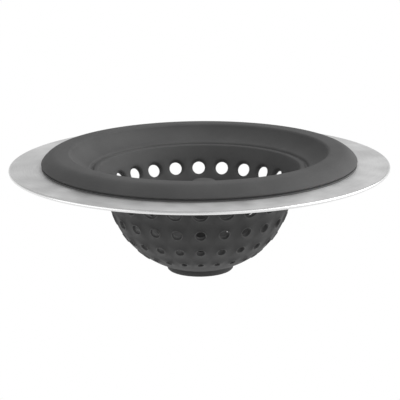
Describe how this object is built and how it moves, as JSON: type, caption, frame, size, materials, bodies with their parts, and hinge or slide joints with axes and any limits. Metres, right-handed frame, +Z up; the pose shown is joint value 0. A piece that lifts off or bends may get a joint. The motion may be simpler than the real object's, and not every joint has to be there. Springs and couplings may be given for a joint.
{
  "type": "sink strainer",
  "caption": "Round sink strainer with a flat steel rim, a thick silicone collar and a soft perforated basket that turns inside out to empty.",
  "frame": {"origin": "middle of the foot's lower face", "axes": "+Z up along the strainer's axis, out of the drain"},
  "size_m": [0.114, 0.114, 0.0369],
  "materials": {
    "steel": "fine circular brushing, bright hemmed edge",
    "silicone": "satin moulded silicone"
  },
  "bodies": {
    "rim": {"rim_plate": "steel", "collar": "silicone"},
    "wall_1": {"wall_row_1": "silicone"},
    "wall_2": {"wall_row_2": "silicone"},
    "wall_3": {"wall_row_3": "silicone"},
    "wall_4": {"wall_row_4": "silicone"},
    "base": {"basket_base": "silicone"}
  },
  "joints": [
    {"name": "basket_flip", "type": "slide", "parent": "rim", "child": "base", "axis": [0, 0, 1], "range_m": [0, 0.0594]},
    {"name": "wall_1_flip", "type": "slide", "parent": "rim", "child": "wall_1", "axis": [0, 0, 1], "range_m": [0, 0.0126]},
    {"name": "wall_2_flip", "type": "slide", "parent": "rim", "child": "wall_2", "axis": [0, 0, 1], "range_m": [0, 0.0266]},
    {"name": "wall_3_flip", "type": "slide", "parent": "rim", "child": "wall_3", "axis": [0, 0, 1], "range_m": [0, 0.0383]},
    {"name": "wall_4_flip", "type": "slide", "parent": "rim", "child": "wall_4", "axis": [0, 0, 1], "range_m": [0, 0.048]}
  ],
  "couplings": [
    {"joint": "wall_1_flip", "follows": "basket_flip", "ratio": 0.21},
    {"joint": "wall_2_flip", "follows": "basket_flip", "ratio": 0.445},
    {"joint": "wall_3_flip", "follows": "basket_flip", "ratio": 0.642},
    {"joint": "wall_4_flip", "follows": "basket_flip", "ratio": 0.806}
  ]
}
